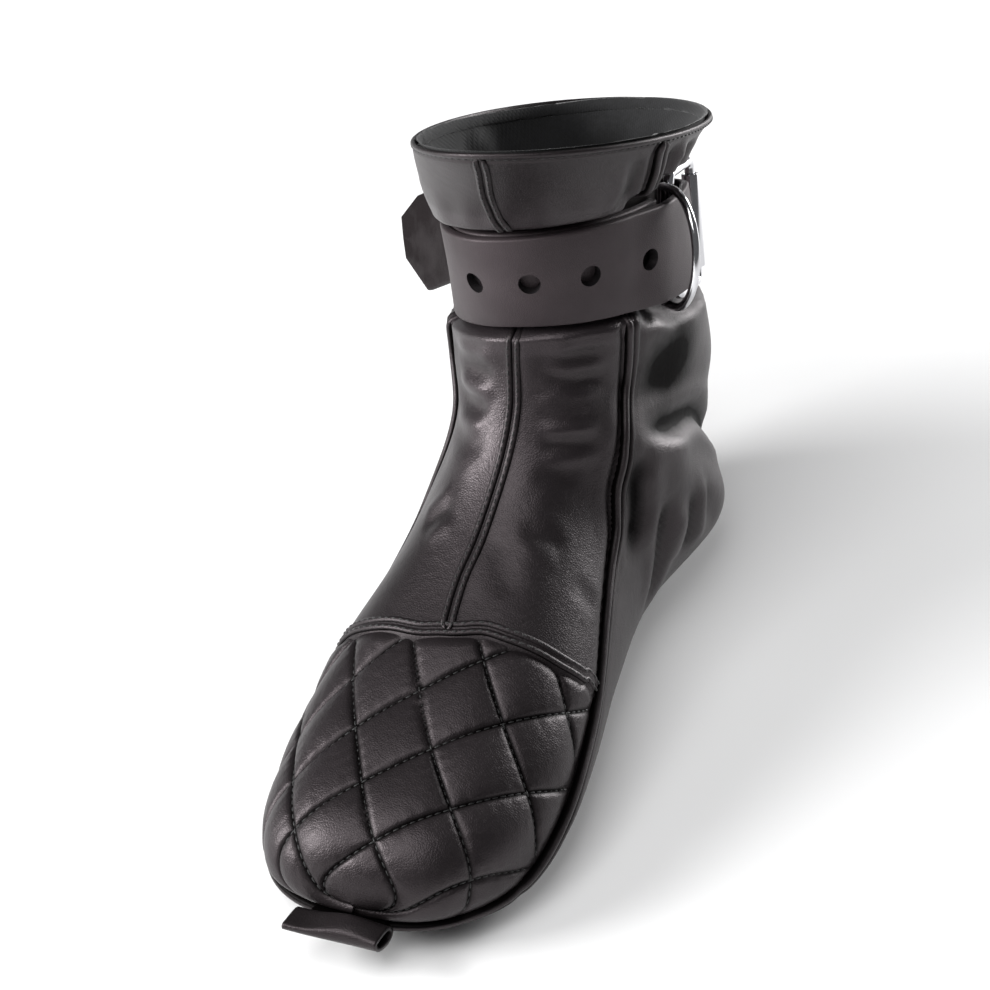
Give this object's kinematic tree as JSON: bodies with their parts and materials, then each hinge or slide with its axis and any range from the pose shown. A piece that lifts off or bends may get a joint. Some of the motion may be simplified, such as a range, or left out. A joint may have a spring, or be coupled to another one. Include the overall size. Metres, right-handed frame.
{
  "type": "padded restraint boot",
  "caption": "Soft padded leather ankle boot with quilted toe, folded pull loop and a wide buckled ankle strap carrying a swinging D-ring; right foot, stands on its flat sole.",
  "frame": {"origin": "middle of the heel's flat spot on the floor plane", "axes": "toe to -Y, medial side (inner side of a right foot) to +X, shaft up +Z"},
  "size_m": [0.1446, 0.3001, 0.2277],
  "materials": {
    "leather": "soft satin black leather",
    "sole": "matt black sole leather",
    "lining": "matt black lining",
    "strap": "matt dyed belt leather",
    "steel": "bright chrome plate"
  },
  "bodies": {
    "boot": {"upper": "leather", "toe_cap": "leather", "toe_loop": "leather", "sole": "sole", "insole": "lining", "ankle_strap": "strap", "bar_keeper": "strap", "buckle_frame": "steel", "buckle_roller": "steel"},
    "ring": {"d_ring": "steel"}
  },
  "joints": [
    {"name": "ring_swing", "type": "hinge", "parent": "boot", "child": "ring", "pos_m": [0.03261, -0.01713, 0.15205], "axis": [-0.0845, 0.3139, 0.9457], "range_deg": [-12, 80]}
  ]
}
